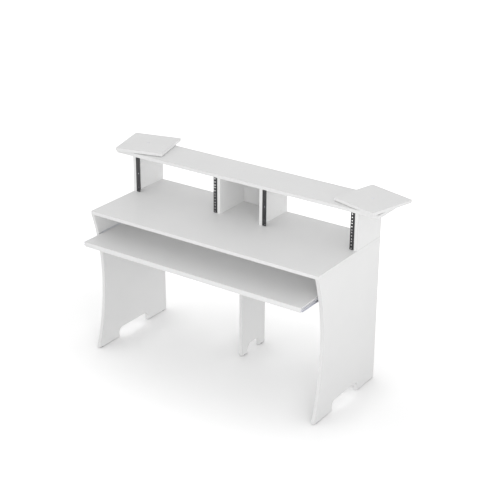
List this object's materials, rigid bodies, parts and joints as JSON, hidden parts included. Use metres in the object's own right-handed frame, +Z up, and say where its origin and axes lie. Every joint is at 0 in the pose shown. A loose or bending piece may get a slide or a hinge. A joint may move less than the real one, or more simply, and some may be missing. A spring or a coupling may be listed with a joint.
{
  "type": "studio desk",
  "caption": "White studio desk with curved side panels, rack bays under a long top shelf, a sliding keyboard tray and swivelling loudspeaker platforms.",
  "frame": {"origin": "on the floor, in the middle of the width and of the depth that the desk takes up with its tray at the drawn-out rest place", "axes": "+X to the player's right along the desk, +Y to the back, +Z up"},
  "size_m": [1.5824, 0.6902, 0.9583],
  "materials": {
    "laminate": "white melamine-faced board with matching edge band, satin",
    "zinc_steel": "bright zinc plate",
    "ball_steel": "polished bearing steel",
    "rail_steel": "black powder coat",
    "dark_plastic": "moulded, matt",
    "dowel_wood": "bare beech",
    "pale_plastic": "moulded, smooth"
  },
  "bodies": {
    "desk": {"centre_support": "laminate", "compartment_back": "laminate", "desktop": "laminate", "dowel_centre_back": "dowel_wood", "dowel_centre_front": "dowel_wood", "dowel_left_back": "dowel_wood", "dowel_left_front": "dowel_wood", "dowel_left_middle": "dowel_wood", "dowel_right_back": "dowel_wood", "dowel_right_front": "dowel_wood", "dowel_right_middle": "dowel_wood", "floor_glide_centre_back": "dark_plastic", "floor_glide_centre_front": "dark_plastic", "floor_glide_left_back": "dark_plastic", "floor_glide_left_front": "dark_plastic", "floor_glide_right_back": "dark_plastic", "floor_glide_right_front": "dark_plastic", "housing_divider_left": "laminate", "housing_divider_right": "laminate", "housing_wall_left": "laminate", "housing_wall_right": "laminate", "pivot_insert_left": "zinc_steel", "pivot_insert_right": "zinc_steel", "pivot_screw_left": "zinc_steel", "pivot_screw_right": "zinc_steel", "rack_rail_left_inner": "rail_steel", "rack_rail_left_outer": "rail_steel", "rack_rail_right_inner": "rail_steel", "rack_rail_right_outer": "rail_steel", "rear_rail_left": "laminate", "rear_rail_right": "laminate", "side_panel_left": "laminate", "side_panel_right": "laminate", "slide_bumper_left": "dark_plastic", "slide_bumper_right": "dark_plastic", "slide_outer_left": "zinc_steel", "slide_outer_right": "zinc_steel", "swivel_disc_left": "pale_plastic", "swivel_disc_right": "pale_plastic", "top_shelf": "laminate"},
    "tray": {"keyboard_tray": "laminate", "slide_inner_left": "zinc_steel", "slide_inner_right": "zinc_steel"},
    "ball_cage_left": {"ball_cage_left": "zinc_steel", "slide_ball_left_lower_1": "ball_steel", "slide_ball_left_lower_2": "ball_steel", "slide_ball_left_lower_3": "ball_steel", "slide_ball_left_upper_1": "ball_steel", "slide_ball_left_upper_2": "ball_steel", "slide_ball_left_upper_3": "ball_steel"},
    "ball_cage_right": {"ball_cage_right": "zinc_steel", "slide_ball_right_lower_1": "ball_steel", "slide_ball_right_lower_2": "ball_steel", "slide_ball_right_lower_3": "ball_steel", "slide_ball_right_upper_1": "ball_steel", "slide_ball_right_upper_2": "ball_steel", "slide_ball_right_upper_3": "ball_steel"},
    "platform_left": {"speaker_platform_left": "laminate"},
    "platform_right": {"speaker_platform_right": "laminate"}
  },
  "joints": [
    {"name": "tray_slide", "type": "slide", "parent": "desk", "child": "tray", "axis": [0, -1, 0], "range_m": [-0.144, 0.036]},
    {"name": "cage_roll_left", "type": "slide", "parent": "desk", "child": "ball_cage_left", "axis": [0, -1, 0], "range_m": [-0.072, 0.018]},
    {"name": "cage_roll_right", "type": "slide", "parent": "desk", "child": "ball_cage_right", "axis": [0, -1, 0], "range_m": [-0.072, 0.018]},
    {"name": "platform_swivel_left", "type": "hinge", "parent": "desk", "child": "platform_left", "pos_m": [-0.64, 0.1939, 0.9423], "axis": [0, 0, 1], "continuous": true},
    {"name": "platform_swivel_right", "type": "hinge", "parent": "desk", "child": "platform_right", "pos_m": [0.64, 0.1939, 0.9423], "axis": [0, 0, 1], "continuous": true}
  ],
  "couplings": [
    {"joint": "cage_roll_left", "follows": "tray_slide", "ratio": 0.5},
    {"joint": "cage_roll_right", "follows": "tray_slide", "ratio": 0.5}
  ]
}
